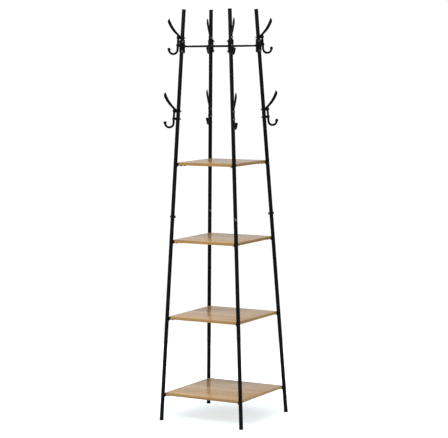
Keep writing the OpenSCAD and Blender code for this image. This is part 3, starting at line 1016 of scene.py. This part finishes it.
floor_profile = [(FLOOR_CORE_R, -FLOOR_T), (FLOOR_R, -FLOOR_T), (FLOOR_R, 0.0), (FLOOR_CORE_R, 0.0)]
floor = turned(floor_profile, FLOOR_SIDES, loop=False).object("studio_floor")
paper = Shader("studio_paper")
from_middle = paper.node(
    "ShaderNodeVectorMath", {0: paper.coords.outputs["Object"]}, operation="LENGTH"
).outputs["Value"]
floor.data.materials.append(
    paper.finish(
        # Paper tinted cool: painted to cancel the warm light that the shelves bounce onto the floor
        Base_Color=paper.mix(paper.noise(3.0), (0.54, 0.59, 0.64, 1), (0.56, 0.61, 0.66, 1)),
        Roughness=0.9,
        Specular_IOR_Level=0.1,
        # Glow dimmed and tinted cool in the middle: a painted shadow under the stand, cooled to cancel the warm
        # bounce light from the shelves
        Emission_Color=paper.mix(paper.ramp(from_middle, *FLOOR_SHADOW_FADE), (0.84, 0.93, 1, 1), (1, 1, 1, 1)),
        Emission_Strength=paper.ramp(from_middle, *FLOOR_SHADOW_FADE, FLOOR_SHADOW_GLOW, 1.0),
    )
)
floor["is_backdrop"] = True


# Cosines of the angles to the front, and to straight up, between which the surround's light changes
REAR, FORE = -0.6, 0.9
SHOULDER, OVERHEAD = 0.55, 0.95
SEEN_STRENGTH = 1.05


def studio_world(front, low, extra, zenith):
    """White to the camera. It lights the stand with strength low from behind, rising by extra towards the front, and
    is dimmed to a share zenith overhead."""
    world = bpy.data.worlds.new("studio")
    bpy.context.scene.world = world
    world.use_nodes = True
    tree = world.node_tree
    tree.nodes.clear()

    def node(kind, inputs, **settings):
        made = tree.nodes.new(kind)
        for key, value in settings.items():
            setattr(made, key, value)
        for key, value in inputs.items():
            if isinstance(value, bpy.types.NodeSocket):
                tree.links.new(value, made.inputs[key])
            else:
                made.inputs[key].default_value = value
        return made

    ray = node("ShaderNodeTexCoord", {}).outputs["Generated"]
    facing = node("ShaderNodeVectorMath", {0: ray, 1: front}, operation="DOT_PRODUCT").outputs["Value"]
    height = node("ShaderNodeSeparateXYZ", {0: ray}).outputs["Z"]
    around = node(
        "ShaderNodeMapRange",
        {"Value": facing, "From Min": REAR, "From Max": FORE, "To Min": low, "To Max": low + extra},
        interpolation_type="SMOOTHSTEP",
    ).outputs[0]
    dimmed = node(
        "ShaderNodeMapRange",
        {"Value": height, "From Min": SHOULDER, "From Max": OVERHEAD, "To Min": 1.0, "To Max": zenith},
        interpolation_type="SMOOTHSTEP",
    ).outputs[0]
    strength = node("ShaderNodeMath", {0: around, 1: dimmed}, operation="MULTIPLY").outputs[0]
    seen = node("ShaderNodeBackground", {"Color": (1, 1, 1, 1), "Strength": SEEN_STRENGTH})
    lighting = node("ShaderNodeBackground", {"Color": (1, 1, 1, 1), "Strength": strength})
    camera_ray = node("ShaderNodeLightPath", {}).outputs["Is Camera Ray"]
    both = node("ShaderNodeMixShader", {0: camera_ray, 1: lighting.outputs[0], 2: seen.outputs[0]})
    node("ShaderNodeOutputWorld", {"Surface": both.outputs[0]})


FRONT = Vector((0.35, -0.93, 0.1)).normalized()
studio_world(FRONT, low=0.56, extra=0.68, zenith=0.8)


def softbox(name, position, target, size, power):
    light = bpy.data.lights.new(name, "AREA")
    light.shape = "SQUARE"
    light.size = size
    light.energy = power
    lamp = bpy.data.objects.new(name, light)
    bpy.context.scene.collection.objects.link(lamp)
    lamp.location = position
    lamp.rotation_euler = (Vector(target) - Vector(position)).to_track_quat("-Z", "Y").to_euler()


softbox("key_softbox", position=(0.2, -2.2, 2.5), target=(0, 0, 1.45), size=0.9, power=36)

# ---- Camera ----

CAMERA_AZIMUTH = math.radians(30.47)
CAMERA_DISTANCE = 7.7237
CAMERA_HEIGHT = 1.6864
CAMERA_PITCH = 0.1038
CAMERA_YAW = 0.00096
CAMERA_ROLL = 0.010
CAMERA_LENS_MM = 141.74
CAMERA_FAR = 200

camera = bpy.data.objects.new("camera", bpy.data.cameras.new("camera"))
bpy.context.scene.collection.objects.link(camera)
camera.data.lens = CAMERA_LENS_MM
camera.data.clip_end = CAMERA_FAR
camera.location = (
    CAMERA_DISTANCE * math.sin(CAMERA_AZIMUTH),
    -CAMERA_DISTANCE * math.cos(CAMERA_AZIMUTH),
    CAMERA_HEIGHT,
)
camera.rotation_euler = (
    Matrix.Rotation(CAMERA_AZIMUTH - CAMERA_YAW, 4, "Z")
    @ Matrix.Rotation(QUARTER - CAMERA_PITCH, 4, "X")
    @ Matrix.Rotation(-CAMERA_ROLL, 4, "Z")
).to_euler()
bpy.context.scene.camera = camera
bpy.context.scene.view_settings.view_transform = "Standard"

low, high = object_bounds()
